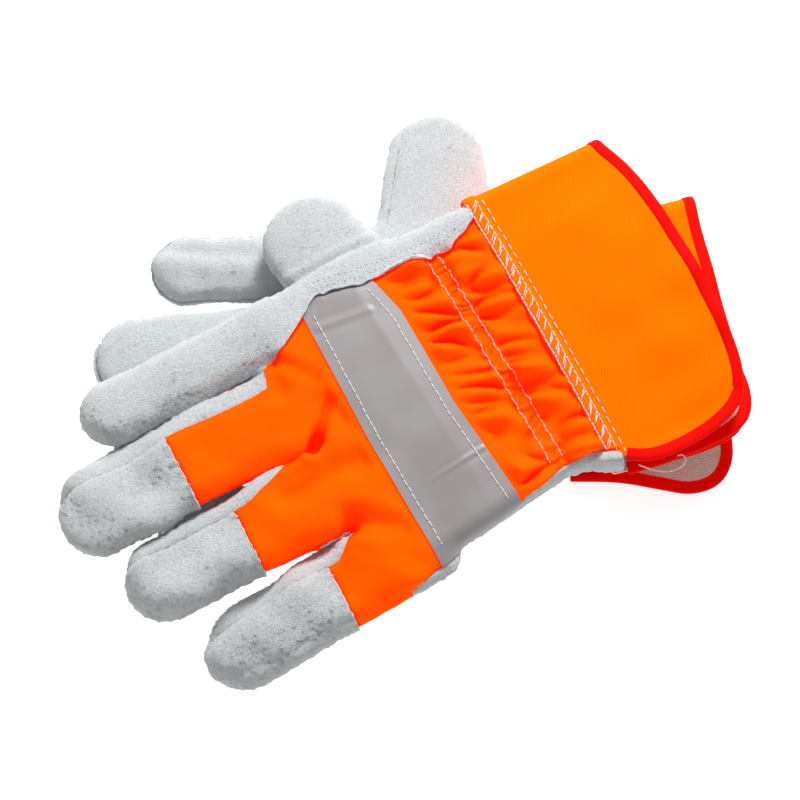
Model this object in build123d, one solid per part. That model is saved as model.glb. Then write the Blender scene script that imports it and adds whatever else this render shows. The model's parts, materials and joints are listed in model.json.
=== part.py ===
"""A pair of leather-palm work gloves lying one on the other, palm to palm.

The left glove is on top with its back up, and the right glove is underneath with its palm up.
Millimetres. +X runs along the left glove from its fingertips to its cuff, +Y to its thumb side
and +Z up. The origin is at the middle of the pair's footprint, on the surface they lie on.

Each glove is built in its own hand frame: the wrist seam is at x = 0, the fingers point to -x,
the thumb is on the +y side, the palm leather starts at z = 0 and the back ends at z = HAND_H.
"""

import os

from build123d import *

# Sheet goods
SHEET = 1.3  # split leather, and the lined cotton of the back
LINING = 0.6  # canvas lining of palm and cuff
TAPE = 0.5  # reflective tape
ELASTIC = 1.0  # thickness of the wrist elastic
THREAD_W, THREAD_H = 0.8, 0.4  # a row of stitching lying on the fabric
FREE_GAP = 0.5  # between two pieces on either side of a joint

# Hand
HAND_H = 19.0  # palm face to back face, lying slack
KNUCKLE_X = -96.8  # where the hand ends and the fingers begin
FINGER_X = -98.5  # base of the fingers, past the knuckle gap
LITTLE_Y = -58.0  # little-finger side of the hand
THUMB_Y, THUMB_KNUCKLE_Y = 64.0, 71.5  # thumb side of the hand, at wrist and at knuckles
LEFT_WRIST, RIGHT_WRIST = 0.0, -10.0  # x of the wrist seam: the right palm is drawn up
BACK_GAP = 0.15  # between the edges of neighbouring back pieces
LINING_INSET = 3.0  # palm lining, in from the edge of the palm leather

# Fingers: centre y at the base, width, length, and yaw towards the thumb side in degrees
FINGER_H = 17.0
FINGERS = {
    "index": (58.8, 26.5, 79.0, 3.0),
    "middle": (25.4, 38.0, 103.5, 3.0),
    "ring": (-12.5, 34.0, 96.5, 2.5),
    "little": (-46.5, 32.0, 83.0, 0.0),
}
CAP_LENGTH = {"middle": 50.0, "ring": 52.0, "little": 58.0}  # leather fingertip on the back
LEFT_LITTLE_DROOP = 12.0  # the left little finger sags towards the surface, in degrees
RIGHT_INDEX = (58.3, 27.0, 75.0, 8.2)  # the right index finger lies splayed
RIGHT_INDEX_BEND = 34.0  # from its base to its free joint
FINGER_OVERHANG = 1.0  # how far a finger reaches past FINGER_X into the knuckle gap

# Thumbs: base x, yaw away from +y towards the fingertips, and length past the hand's side
THUMB_W, THUMB_H = 41.0, 14.0
LEFT_THUMB = (-51.0, 10.0, 36.0)
RIGHT_THUMB = (-41.5, -6.0, 52.0)
THUMB_GAP = 1.0  # between the hand's side and the thumb's own pieces
THUMB_OPENING = 45.0  # opening in the hand's thumb wall that the thumb's base stands in

# Back of the hand
STRIP_EDGE = [(0, 52), (-47, 53), (-66, 60), (-80, 54), (KNUCKLE_X, 46)]
TAPE_OUTLINE = [(-79, 53.5), (-65.5, 59.4), (-47, 52.6), (-44, -55), (-84, -56)]
KNUCKLE_STITCHES = [(-79, 48), (-78.2, 48), (-79.2, -54), (-80, -54)]  # one row by each tape edge
WRIST_STITCHES = [(-51, 51), (-50.2, 51), (-47.2, -54), (-48, -54)]
ELASTIC_X, ELASTIC_W, ELASTIC_L = -21.0, 10.0, 104.0
WRIST_ROWS, WRIST_ROW_L = (-24.0, -18.5), 102.0  # the two stitch rows that hold the elastic
WRIST_MID_Y = -2.0  # middle of the elastic and its rows

# Cuff
BAND_W = 6.5  # turned and stitched edge that joins the cuff to the hand
BAND_ROWS, BAND_ROW_L, BAND_MID_Y = (0.8, 5.5), 118.0, -1.0  # x of its stitch rows
CUFF_L = 65.0  # wrist seam to outer edge
CUFF_FOLD_Y, CUFF_FREE_Y = 60.0, -70.0
CUFF_CORNER = 38.0  # radius of the free corner of each flap
CUFF_NARROWING = 7.0  # the free side runs in by this much towards the wrist
SHELL_INSET, CUFF_LINING_INSET = 0.6, 1.2  # in from the edge of the binding
BAND_INSET = (10.0, 8.0)  # band's free end, in from CUFF_FREE_Y: at the wrist, at the cuff
BINDING_W, BINDING_OUT = 5.0, 0.5  # red tape round the free edge, and how far it stands proud
RIGHT_CUFF_TURN = 7.2  # the right cuff is turned about the fold at its wrist, in degrees

# Where the gloves lie, before the middle of their footprint is moved to the origin
REST_GAP = 0.3  # between the bindings of the two cuffs
LEFT_AT = (60.0, -10.0, TAPE + HAND_H + 2 * BINDING_OUT + REST_GAP)
RIGHT_AT = (72.0, -24.0, TAPE)
RIGHT_TURN = -23.0

BIG = 400.0


def slab(sketch, z0, z1):
    """A flat sheet with that outline, from z0 to z1."""
    return extrude(Pos(0, 0, z0) * sketch, z1 - z0, dir=(0, 0, 1))


def area(points):
    """A filled outline through those points."""
    return make_face(Polyline(*points, close=True))


def keep(shape, x0=-BIG, x1=BIG, y0=-BIG, y1=BIG):
    """What of the shape lies between those planes."""
    box = Box(x1 - x0, y1 - y0, BIG)
    return shape & (Pos((x0 + x1) / 2, (y0 + y1) / 2, 0) * box)


def finger_outline(length, width, grow=0.0, base=0.0):
    """Plan of a finger that points to -x from its base: straight sides and a round tip."""
    r = width / 2 + grow
    straight = length - width / 2
    strip = Pos((base - straight) / 2, 0) * Rectangle(straight + base, 2 * r)
    return strip + Pos(-straight, 0) * Circle(r)


def finger_walls(length, width):
    """The standing walls of a finger, open at the base, without the front and back sheets."""
    ring = finger_outline(length, width) - finger_outline(length, width, -SHEET, base=SHEET)
    return slab(ring, SHEET, FINGER_H - SHEET)


def leather_finger(length, width):
    """An index finger: leather back with its outer wall and tip, leather front, one fourchette."""
    outline, walls = finger_outline(length, width), finger_walls(length, width)
    straight = length - width / 2
    fourchette = keep(walls, x0=-straight, y1=0)
    wrap = walls - keep(walls, x0=-straight, y1=BACK_GAP)
    return {
        "back": slab(outline, FINGER_H - SHEET, FINGER_H) + wrap,
        "front": slab(outline, 0, SHEET),
        "fourchette": fourchette,
    }


def cotton_finger(length, width, cap):
    """A finger with a cotton back, a leather cap on its tip, a leather front and two fourchettes."""
    outline, walls = finger_outline(length, width), finger_walls(length, width)
    straight = length - width / 2
    back = slab(outline, FINGER_H - SHEET, FINGER_H)
    return {
        "back": keep(back, x0=-(length - cap) + BACK_GAP),
        "tip_cap": keep(back, x1=-(length - cap)) + keep(walls, x1=-straight - BACK_GAP),
        "front": slab(outline, 0, SHEET),
        "fourchettes": keep(walls, x0=-straight),
    }


def on_hand(pieces, base_y, yaw, droop, z0):
    """Sets a finger on the hand: turned, drooped about the top of its base, and cut off square."""
    at = Pos(FINGER_X, base_y, z0 + FINGER_H)
    place = at * Rot(0, -droop, -yaw) * Pos(0, 0, -FINGER_H)
    front_x = FINGER_X + FINGER_OVERHANG
    return {name: keep(place * shape, x1=front_x) for name, shape in pieces.items()}


def thumb(base_x, yaw, length, z0):
    """A thumb beside the hand: leather back with the walls, and a leather front."""
    side = THUMB_Y + (THUMB_KNUCKLE_Y - THUMB_Y) * base_x / KNUCKLE_X
    place = Pos(base_x, side, z0) * Rot(0, 0, -90 + yaw)
    outline = finger_outline(length, THUMB_W, base=THUMB_W)
    hollow = finger_outline(length, THUMB_W, -SHEET, base=THUMB_W + SHEET)
    walls = slab(outline - hollow, SHEET, THUMB_H)
    beyond = Pos(base_x, side + THUMB_GAP, 0) * Rot(0, 0, hand_side_angle())
    outside = beyond * Pos(0, BIG / 2, 0) * Box(BIG, BIG, BIG)
    return {
        "back": (place * (walls + slab(hollow, THUMB_H - SHEET, THUMB_H))) & outside,
        "front": (place * slab(outline, 0, SHEET)) & outside,
    }


def hand_side_angle():
    """Angle of the hand's thumb side to the x axis, in degrees."""
    return -Vector(-KNUCKLE_X, THUMB_Y - THUMB_KNUCKLE_Y).get_angle(Vector(1, 0))


def hand(thumb_x, wrist_x):
    """The body of the hand, without fingers, thumb and cuff."""
    x1 = wrist_x - FREE_GAP
    outer = [(x1, THUMB_Y), (KNUCKLE_X, THUMB_KNUCKLE_Y)]
    strip = [(x1, STRIP_EDGE[0][1]), *STRIP_EDGE[1:], *reversed(outer)]
    inside = [(x, y - BACK_GAP) for x, y in [(x1, STRIP_EDGE[0][1]), *STRIP_EDGE[1:]]]
    little_in = LITTLE_Y + SHEET + BACK_GAP
    back = [*inside, (KNUCKLE_X, little_in), (x1, little_in)]
    palm = [*outer, (KNUCKLE_X, LITTLE_Y), (x1, LITTLE_Y)]

    little_wall = [(x1, LITTLE_Y), (KNUCKLE_X, LITTLE_Y)]
    little_wall += [(x, y + SHEET) for x, y in reversed(little_wall)]
    thumb_wall = [*outer, *[(x, y - SHEET) for x, y in reversed(outer)]]
    thumb_wall = slab(area(thumb_wall), SHEET, HAND_H - SHEET)
    half = THUMB_OPENING / 2
    thumb_wall = keep(thumb_wall, x0=thumb_x + half) + keep(thumb_wall, x1=thumb_x - half)

    lining = [(x1, THUMB_Y - LINING_INSET), (KNUCKLE_X, THUMB_KNUCKLE_Y - LINING_INSET)]
    lining += [(KNUCKLE_X, LITTLE_Y + LINING_INSET), (x1, LITTLE_Y + LINING_INSET)]
    elastic = Pos(ELASTIC_X, WRIST_MID_Y) * Rectangle(ELASTIC_W, ELASTIC_L)
    return {
        "palm_leather": slab(area(palm), 0, SHEET) + slab(area(little_wall), SHEET, HAND_H),
        "thumb_side_strip": slab(area(strip), HAND_H - SHEET, HAND_H) + thumb_wall,
        "back_cotton": slab(area(back), HAND_H - SHEET, HAND_H),
        "reflective_tape": slab(area(TAPE_OUTLINE), HAND_H, HAND_H + TAPE),
        "palm_lining": slab(area(lining), SHEET, SHEET + LINING),
        "wrist_elastic": slab(elastic, HAND_H - SHEET - ELASTIC, HAND_H - SHEET),
    }


def hand_stitching():
    """Rows of white thread on the tape and over the elastic."""
    z = HAND_H + TAPE
    on_tape = [area(KNUCKLE_STITCHES), area(WRIST_STITCHES)]
    wrist = [Pos(x, WRIST_MID_Y) * Rectangle(THREAD_W, WRIST_ROW_L) for x in WRIST_ROWS]
    return {
        "tape_stitching": Compound([slab(row, z, z + THREAD_H) for row in on_tape]),
        "wrist_stitching": Compound([slab(row, HAND_H, HAND_H + THREAD_H) for row in wrist]),
    }


def flap_outline(x0, inset=0.0):
    """Plan of a cuff flap: square at the fold, with one large round corner at the free side."""
    x1, free, r = CUFF_L - inset, CUFF_FREE_Y + inset, CUFF_CORNER - inset
    start = (x0, free + CUFF_NARROWING)
    edge = Polyline((x1 - r, free), start, (x0, CUFF_FOLD_Y), (x1, CUFF_FOLD_Y), (x1, free + r))
    return make_face(edge + RadiusArc((x1, free + r), (x1 - r, free), r))


def folded(plan, z0, z1, sheet, fold_y):
    """A sheet folded round the thumb side: a flap at the bottom, a flap on top and the fold."""
    fold = keep(slab(plan, z0, z1), y0=fold_y - sheet)
    return slab(plan, z0, z0 + sheet) + slab(plan, z1 - sheet, z1) + fold


def cuff(wrist_x, turn):
    """The stiff cuff, folded at the thumb side and open at the little-finger side."""
    x0, inside = BAND_W, CUFF_FOLD_Y - SHEET
    lined = SHEET + LINING
    lining_plan = keep(slab(flap_outline(x0, CUFF_LINING_INSET), 0, 1), y1=inside)
    lining_plan = lining_plan.faces().sort_by(Axis.Z)[0]
    shell = folded(flap_outline(x0, SHELL_INSET), 0, HAND_H, SHEET, CUFF_FOLD_Y)
    lining = folded(lining_plan, SHEET, HAND_H - SHEET, LINING, inside)

    edge = flap_outline(x0) - flap_outline(x0 - BIG, BINDING_W)
    depth = lined + BINDING_OUT
    binding = slab(edge, -BINDING_OUT, depth) + slab(edge, HAND_H - depth, HAND_H + BINDING_OUT)
    binding += keep(slab(edge, 0, HAND_H), y0=inside - LINING)

    hinge = Pos(wrist_x, CUFF_FOLD_Y, 0) * Rot(0, 0, turn) * Pos(0, -CUFF_FOLD_Y, 0)
    wrist_inset, cuff_inset = BAND_INSET
    far = [(hinge * Pos(x0, y, 0)).position for y in (CUFF_FOLD_Y, CUFF_FREE_Y + cuff_inset)]
    near = [(wrist_x, CUFF_FREE_Y + wrist_inset), (wrist_x, CUFF_FOLD_Y)]
    band_plan = area([*[(p.X, p.Y) for p in far], *near])
    return {
        "cuff_shell": hinge * shell,
        "cuff_lining": hinge * lining,
        "cuff_binding": hinge * (binding - shell - lining),
        "cuff_seam_band": folded(band_plan, 0, HAND_H, lined, CUFF_FOLD_Y),
    }


def cuff_stitching():
    """Rows of white thread along both edges of the seam band."""
    rows = [Pos(x, BAND_MID_Y) * Rectangle(THREAD_W, BAND_ROW_L) for x in BAND_ROWS]
    return {"cuff_stitching": Compound([slab(r, HAND_H, HAND_H + THREAD_H) for r in rows])}


def glove(fingers, droops, finger_z, thumb_pose, thumb_z, wrist_x, turn):
    """All pieces of a glove but its stitching, in the hand frame."""
    pieces = hand(thumb_pose[0], wrist_x) | cuff(wrist_x, turn)
    for name, (base_y, width, length, yaw) in fingers.items():
        if name in CAP_LENGTH:
            made = cotton_finger(length, width, CAP_LENGTH[name])
        else:
            made = leather_finger(length, width)
        placed = on_hand(made, base_y, yaw, droops.get(name, 0.0), finger_z)
        pieces |= {f"{name}_{piece}": shape for piece, shape in placed.items()}
    pieces |= {f"thumb_{k}": v for k, v in thumb(*thumb_pose, thumb_z).items()}
    return pieces


def split_index(pieces, finger):
    """Cuts an index finger across at its free joint, with a gap that lets its end lift."""
    base_y, _, _, yaw = finger
    joint = Pos(FINGER_X, base_y, 0) * Rot(0, 0, -yaw) * Pos(-RIGHT_INDEX_BEND, 0, 0)
    base_side = joint * Pos(BIG / 2 + FREE_GAP, 0, 0) * Box(BIG, BIG, BIG)
    end_side = joint * Pos(-BIG / 2, 0, 0) * Box(BIG, BIG, BIG)
    for name in ("index_back", "index_front", "index_fourchette"):
        whole = pieces.pop(name)
        pieces[f"{name}_base"] = whole & base_side
        pieces[f"{name}_end"] = whole & end_side
    return pieces


def place_left(shape):
    return Pos(*LEFT_AT) * shape


def place_right(shape):
    """The right glove is the left glove's mirror image, laid on its back."""
    over = Pos(0, 0, HAND_H) * mirror(shape, about=Plane.XY)
    return Pos(*RIGHT_AT) * Rot(0, 0, RIGHT_TURN) * over


def build():
    """Every node of the pair, by name."""
    droops = {"little": LEFT_LITTLE_DROOP}
    left = glove(FINGERS, droops, HAND_H - FINGER_H, LEFT_THUMB, 0.0, LEFT_WRIST, 0.0)
    left |= hand_stitching() | cuff_stitching()
    fingers = FINGERS | {"index": RIGHT_INDEX}
    low = HAND_H - THUMB_H
    right = glove(fingers, {}, 0.0, RIGHT_THUMB, low, RIGHT_WRIST, RIGHT_CUFF_TURN)
    right = split_index(right, RIGHT_INDEX)
    nodes = {f"left_{name}": place_left(shape) for name, shape in left.items()}
    nodes |= {f"right_{name}": place_right(shape) for name, shape in right.items()}
    middle = Compound(list(nodes.values())).bounding_box().center()
    return {name: Pos(-middle.X, -middle.Y, 0) * shape for name, shape in nodes.items()}


def main():
    os.makedirs("parts", exist_ok=True)
    for name, shape in build().items():
        export_step(shape, f"parts/{name}.step")


main()
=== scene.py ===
"""Looks of a stacked pair of work gloves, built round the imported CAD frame.

Shapes are worked out in millimetres in each glove's own hand frame, as in the CAD part: the wrist
seam is at x = 0, the fingers point to -x, the thumb is on the +y side, the palm is at z = 0 and
the back faces +z. The left glove is then moved into place, and the right one turned over.
"""

import json
import math

import bmesh
import bpy
import numpy as np
import openvdb
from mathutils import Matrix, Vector
from mathutils.bvhtree import BVHTree


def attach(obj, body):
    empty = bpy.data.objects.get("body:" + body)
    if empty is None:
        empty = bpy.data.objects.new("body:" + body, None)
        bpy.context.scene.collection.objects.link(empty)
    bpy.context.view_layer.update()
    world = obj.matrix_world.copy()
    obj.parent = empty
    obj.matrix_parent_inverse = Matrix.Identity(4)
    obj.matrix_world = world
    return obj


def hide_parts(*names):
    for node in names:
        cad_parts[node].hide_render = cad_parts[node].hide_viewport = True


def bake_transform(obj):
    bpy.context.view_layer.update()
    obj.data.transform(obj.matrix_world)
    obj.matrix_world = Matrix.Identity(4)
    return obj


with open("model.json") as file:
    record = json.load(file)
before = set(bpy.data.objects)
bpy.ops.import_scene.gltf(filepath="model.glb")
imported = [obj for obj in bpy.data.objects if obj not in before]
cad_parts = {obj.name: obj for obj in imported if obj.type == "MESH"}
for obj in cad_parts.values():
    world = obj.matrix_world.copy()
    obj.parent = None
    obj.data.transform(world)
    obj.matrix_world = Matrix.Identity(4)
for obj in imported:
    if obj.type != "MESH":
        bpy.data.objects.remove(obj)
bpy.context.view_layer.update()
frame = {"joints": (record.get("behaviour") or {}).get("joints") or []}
MM = 0.001
STEP = 0.9  # voxel size of the modelled skins

JOINT_AT = {j["name"]: np.array(j.get("pos_m", (0, 0, 0))) / MM for j in frame["joints"]}
HAND_H = 19.0  # palm face to back face in the CAD part
LEFT_AT = JOINT_AT["left_wrist_bend"] - (-0.25, 0.0, HAND_H)
RIGHT_AT = np.array((68.55, -31.39, 0.5))  # the right hand frame's origin, as in the CAD part
RIGHT_TURN = math.radians(-23)
FLOOR_GAP = 0.45  # how far past its CAD back the right glove may reach down, just short of the floor
TAPE_ROOM = 0.65  # how much less its cotton may, so that the tape lies clear of it


# ---------------------------------------------------------------- numbers and fields


def smooth(x, a, b):
    """0 below a, 1 above b, and a smooth step between."""
    t = np.clip((x - a) / (b - a), 0, 1)
    return t * t * (3 - 2 * t)


def smin(a, b, k):
    """Smaller of two fields, rounded over k millimetres where they meet."""
    h = np.maximum(k - np.abs(a - b), 0) / k
    return np.minimum(a, b) - h * h * k / 4


def smax(a, b, k):
    return -smin(-a, -b, k)


def lerp(x, points):
    """Piecewise linear value at x from (x, value) pairs in rising order of x."""
    xs, ys = zip(*points)
    return np.interp(x, xs, ys)


class Noise:
    """A smooth random field made of plane waves; size is its typical wavelength."""

    def __init__(self, seed, size, waves=14, stretch=(1, 1, 1)):
        rng = np.random.default_rng(seed)
        k = rng.normal(size=(waves, 3))
        k /= np.linalg.norm(k, axis=1)[:, None]
        k *= (2 * math.pi / size) * rng.uniform(0.65, 1.5, (waves, 1))
        self.k = k / np.array(stretch)
        self.phase = rng.uniform(0, 2 * math.pi, waves)
        self.scale = math.sqrt(2 / waves)

    def __call__(self, p):
        total = np.zeros(p.shape[:-1])
        for k, ph in zip(self.k, self.phase):
            total += np.sin(p @ k + ph)
        return total * self.scale


def stadium(a, b, ha, hb, r):
    """Distance to a rectangle of half sides ha, hb with corners of radius r."""
    qa, qb = np.abs(a) - (ha - r), np.abs(b) - (hb - r)
    outside = np.hypot(np.maximum(qa, 0), np.maximum(qb, 0))
    return outside + np.minimum(np.maximum(qa, qb), 0) - r


class Digit:
    """A finger or thumb: a flattened tube with a round tip, in the hand frame."""

    def __init__(self, x, y, yaw, length, w, t, z, droop=0.0, roll=0.0, taper=0.0, tip=1.0, crown=0.48):
        self.x, self.y, self.yaw, self.length = x, y, math.radians(yaw), length
        self.w, self.t, self.z, self.droop = w, t, z, droop
        self.roll, self.taper, self.tip, self.crown = math.radians(roll), taper, tip, crown
        self.straight = length - w * tip

    def local(self, p):
        """Along the digit, across it towards the thumb, and above its middle surface."""
        dx, dy = p[..., 0] - self.x, p[..., 1] - self.y
        u = -dx * math.cos(self.yaw) + dy * math.sin(self.yaw)
        v = dx * math.sin(self.yaw) + dy * math.cos(self.yaw)
        share = np.clip(u / self.length, 0, 1.3)
        n = p[..., 2] - self.z + self.droop * share**1.7
        c, s = math.cos(self.roll), math.sin(self.roll)
        return u, v * c + n * s, n * c - v * s

    def along(self, u):
        """The point at u on the digit's axis."""
        return self.x - u * math.cos(self.yaw), self.y + u * math.sin(self.yaw), self.z

    def field(self, p):
        u, v, n = self.local(p)
        over = np.maximum(u - self.straight, 0) / self.tip
        r = np.hypot(v, over)
        share = np.clip(u / self.straight, 0, 1)
        w = self.w * (1 - self.taper * share)
        t = self.t * (1 - self.crown * np.clip(r / w, 0, 1.1) ** 2) * (1 - 0.3 * smooth(-u, 6, 24))
        d = stadium(r, n, w, t, min(self.t * 0.8, 7.0))
        return smax(d, -24 - u, 8)


def grid(lo, hi):
    """Points of a regular grid whose planes are shared by all grids, and its first index."""
    first = np.floor(np.array(lo) / STEP).astype(int)
    last = np.ceil(np.array(hi) / STEP).astype(int)
    axes = [np.arange(a, b + 1) * STEP for a, b in zip(first, last)]
    return np.stack(np.meshgrid(*axes, indexing="ij"), axis=-1).astype(np.float32), first


# ---------------------------------------------------------------- meshes


class Skin:
    """Triangles f over points v with unit normals n; p are the points before any relief."""

    def __init__(self, v, f, n=None, p=None):
        self.v, self.f = v, f
        self.n = normals(v, f) if n is None else n
        self.p = v if p is None else p

    def clip(self, value):
        """The part where value(p) is above 0, cut cleanly across triangles."""
        value = value(self.p)
        value = np.where(np.abs(value) < 1e-4, 1e-4, value)
        inside = value > 0
        count = inside[self.f].sum(1)
        faces = [self.f[count == 3]]
        v, n, p = self.v, self.n, self.p
        cut = self.f[(count == 1) | (count == 2)]
        if len(cut):
            n_in = inside[cut].sum(1)
            odd = np.where((n_in == 1)[:, None], inside[cut], ~inside[cut]).argmax(1)
            cut = np.take_along_axis(cut, (odd[:, None] + np.arange(3)) % 3, 1)
            a, b, c = cut.T
            edges = np.sort(np.concatenate([np.stack([a, b], 1), np.stack([a, c], 1)]), 1)
            edges, where = np.unique(edges, axis=0, return_inverse=True)
            where = where.ravel() + len(v)
            i, j = edges.T
            t = (value[i] / (value[i] - value[j]))[:, None]
            v, n, p = (np.concatenate([q, q[i] * (1 - t) + q[j] * t]) for q in (v, n, p))
            ab, ac = where[: len(cut)], where[len(cut) :]
            one = n_in == 1
            faces.append(np.stack([a, ab, ac], 1)[one])
            faces.append(np.stack([b, c, ac], 1)[~one])
            faces.append(np.stack([b, ac, ab], 1)[~one])
        used, f = np.unique(np.concatenate(faces), return_inverse=True)
        n = n[used]
        n = n / np.maximum(np.linalg.norm(n, axis=1), 1e-9)[:, None]
        return Skin(v[used], f.reshape(-1, 3), n, p[used])

    def raised(self, height):
        """Moved out along the normals by height(p), with new normals."""
        v = self.v + self.n * height(self.p)[:, None]
        return Skin(v, self.f, None, self.p)

    def finer(self):
        """Every triangle cut into four."""
        e = np.concatenate([self.f[:, [0, 1]], self.f[:, [1, 2]], self.f[:, [2, 0]]])
        edges, where = np.unique(np.sort(e, 1), axis=0, return_inverse=True)
        ab, bc, ca = (where.ravel() + len(self.v)).reshape(3, -1)
        a, b, c = self.f.T
        parts = [(a, ab, ca), (b, bc, ab), (c, ca, bc), (ab, bc, ca)]
        i, j = edges.T
        v, n, p = (np.concatenate([q, (q[i] + q[j]) / 2]) for q in (self.v, self.n, self.p))
        n = n / np.maximum(np.linalg.norm(n, axis=1), 1e-9)[:, None]
        return Skin(v, np.concatenate([np.stack(t, 1) for t in parts]), n, p)

    def rim(self):
        """Directed edges that belong to one triangle."""
        e = np.concatenate([self.f[:, [0, 1]], self.f[:, [1, 2]], self.f[:, [2, 0]]])
        _, where, count = np.unique(np.sort(e, 1), axis=0, return_inverse=True, return_counts=True)
        return e[count[where.ravel()] == 1]


def normals(v, f):
    n = np.zeros_like(v)
    face = np.cross(v[f[:, 1]] - v[f[:, 0]], v[f[:, 2]] - v[f[:, 0]])
    for k in range(3):
        for axis in range(3):
            n[:, axis] += np.bincount(f[:, k], face[:, axis], len(v))
    return n / np.maximum(np.linalg.norm(n, axis=1), 1e-12)[:, None]


def skin_of(field, first):
    """The surface where a field sampled on grid() is zero, as a Skin that faces outward."""
    g = openvdb.FloatGrid(3.0)
    g.copyFromArray(np.clip(field, -3, 3).astype(np.float32), ijk=tuple(int(i) for i in first))
    points, tris, quads = g.convertToPolygons(isovalue=0.0, adaptivity=0.0)
    v = points.astype(float) * STEP
    q = quads.astype(int)
    f = np.concatenate([q[:, [0, 1, 2]], q[:, [0, 2, 3]], tris.astype(int).reshape(-1, 3)])
    volume = np.einsum("ij,ij->i", v[f[:, 0]], np.cross(v[f[:, 1]], v[f[:, 2]])).sum()
    if volume < 0:
        f = f[:, ::-1]
    return Skin(v, f)


# ---------------------------------------------------------------- materials


class Nodes:
    """A node material under construction, with positions in millimetres."""

    def __init__(self, name, **values):
        self.m = bpy.data.materials.new(name)
        self.m.use_nodes = True
        self.tree = self.m.node_tree
        self.shader = self.tree.nodes["Principled BSDF"]
        for key, value in values.items():
            self.shader.inputs[key.replace("_", " ")].default_value = value
        place = self.tree.nodes.new("ShaderNodeTexCoord").outputs["Object"]
        self.mm = self.math_vector("SCALE", place, scale=1000.0)

    def add(self, kind, **settings):
        node = self.tree.nodes.new(kind)
        for key, value in settings.items():
            setattr(node, key, value)
        return node

    def put(self, socket, value):
        if hasattr(value, "is_output"):
            self.tree.links.new(value, socket)
        else:
            socket.default_value = value

    def math_vector(self, operation, vector, scale=1.0):
        node = self.add("ShaderNodeVectorMath", operation=operation)
        self.put(node.inputs[0], vector)
        node.inputs["Scale"].default_value = scale
        return node.outputs[0]

    def turned(self, degrees, stretch=(1, 1, 1)):
        """Positions turned about Z, so that X runs at the angle given, then stretched."""
        node = self.add("ShaderNodeMapping", vector_type="TEXTURE")
        self.put(node.inputs["Vector"], self.mm)
        node.inputs["Rotation"].default_value = (0, 0, math.radians(degrees))
        node.inputs["Scale"].default_value = stretch
        return node.outputs[0]

    def noise(self, size, vector=None, detail=2.0, rough=0.5, distortion=0.0):
        node = self.add("ShaderNodeTexNoise")
        self.put(node.inputs["Vector"], vector or self.mm)
        node.inputs["Scale"].default_value = 1 / size
        node.inputs["Detail"].default_value = detail
        node.inputs["Roughness"].default_value = rough
        node.inputs["Distortion"].default_value = distortion
        return node.outputs["Fac"]

    def wave(self, pitch, vector, direction="X", distortion=0.0):
        node = self.add("ShaderNodeTexWave", bands_direction=direction)
        self.put(node.inputs["Vector"], vector)
        node.inputs["Scale"].default_value = math.pi / (10 * pitch)
        node.inputs["Distortion"].default_value = distortion
        node.inputs["Detail"].default_value = 1
        return node.outputs["Fac"]

    def math(self, operation, a, b=0.0, clamp=False):
        node = self.add("ShaderNodeMath", operation=operation, use_clamp=clamp)
        self.put(node.inputs[0], a)
        self.put(node.inputs[1], b)
        return node.outputs[0]

    def ramp(self, value, *stops):
        node = self.add("ShaderNodeValToRGB")
        self.put(node.inputs["Fac"], value)
        elements = node.color_ramp.elements
        while len(elements) < len(stops):
            elements.new(0.5)
        for element, (place, color) in zip(elements, stops):
            element.position = place
            element.color = (*color, 1) if len(color) == 3 else color
        return node.outputs["Color"]

    def mix(self, share, a, b, blend="MIX"):
        node = self.add("ShaderNodeMix", data_type="RGBA", blend_type=blend)
        self.put(node.inputs["Factor"], share)
        self.put(node.inputs["A"], a if hasattr(a, "is_output") else (*a, 1))
        self.put(node.inputs["B"], b if hasattr(b, "is_output") else (*b, 1))
        return node.outputs["Result"]

    def bump(self, height, distance):
        node = self.add("ShaderNodeBump")
        self.put(node.inputs["Height"], height)
        node.inputs["Distance"].default_value = distance * MM
        node.inputs["Strength"].default_value = 1.0
        return node.outputs["Normal"]

    def hollow(self, reach):
        """1 in the open, towards 0 in folds and under edges closer than reach: the mask for painted shade."""
        node = self.add("ShaderNodeAmbientOcclusion", samples=8)
        node.inputs["Distance"].default_value = reach * MM
        return node.outputs["AO"]

    def shaded(self, color, reach, start, end, dark, most=1.0):
        """Painted shade: the color with the dark one mixed in where hollow(reach) falls from end to start."""
        share = self.ramp(self.hollow(reach), (start, (most, most, most)), (end, (0, 0, 0)))
        return self.mix(share, color, dark)

    def glow(self, color, strength):
        self.shader.inputs["Emission Color"].default_value = (*color, 1)
        self.shader.inputs["Emission Strength"].default_value = strength

    def done(self, color=None, normal=None, rough=None):
        for key, value in (("Base Color", color), ("Normal", normal), ("Roughness", rough)):
            if value is not None:
                self.put(self.shader.inputs[key], value)
        return self.m


def suede():
    """Split cowhide: a short, tousled nap, lighter where it is brushed up."""
    k = Nodes("split_leather_suede", Roughness=0.95, Sheen_Weight=0.6, Sheen_Roughness=0.5)
    patches = k.noise(14, detail=3)
    tufts = k.noise(1.3, detail=5, rough=0.68, distortion=0.6)
    hairs = k.noise(0.38, k.turned(20, (1, 1.7, 1)), detail=3, rough=0.75, distortion=0.4)
    flat, middle, brushed = (0.62, 0.67, 0.69), (0.82, 0.87, 0.89), (0.90, 0.945, 0.96)
    color = k.ramp(tufts, (0.34, flat), (0.50, middle), (0.66, brushed))
    color = k.mix(k.math("MULTIPLY", patches, 0.4), color, (0.74, 0.77, 0.80))
    color = k.mix(0.5, color, k.ramp(hairs, (0.36, (0.48, 0.52, 0.54)), (0.58, (0.96, 0.99, 1.0))))
    # painted shade: the nap turns grey in crevices and under edges
    color = k.shaded(color, 5, 0.3, 0.9, (0.42, 0.45, 0.48), most=0.5)
    height = k.math("ADD", k.math("MULTIPLY", tufts, 0.8), k.math("MULTIPLY", hairs, 0.5))
    return k.done(color, k.bump(height, 1.5))


PAINTED_GLOW = 0.55  # how strongly the fluorescent cloths are painted to glow red of themselves, lit or not: painted light that keeps their shade red


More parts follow.
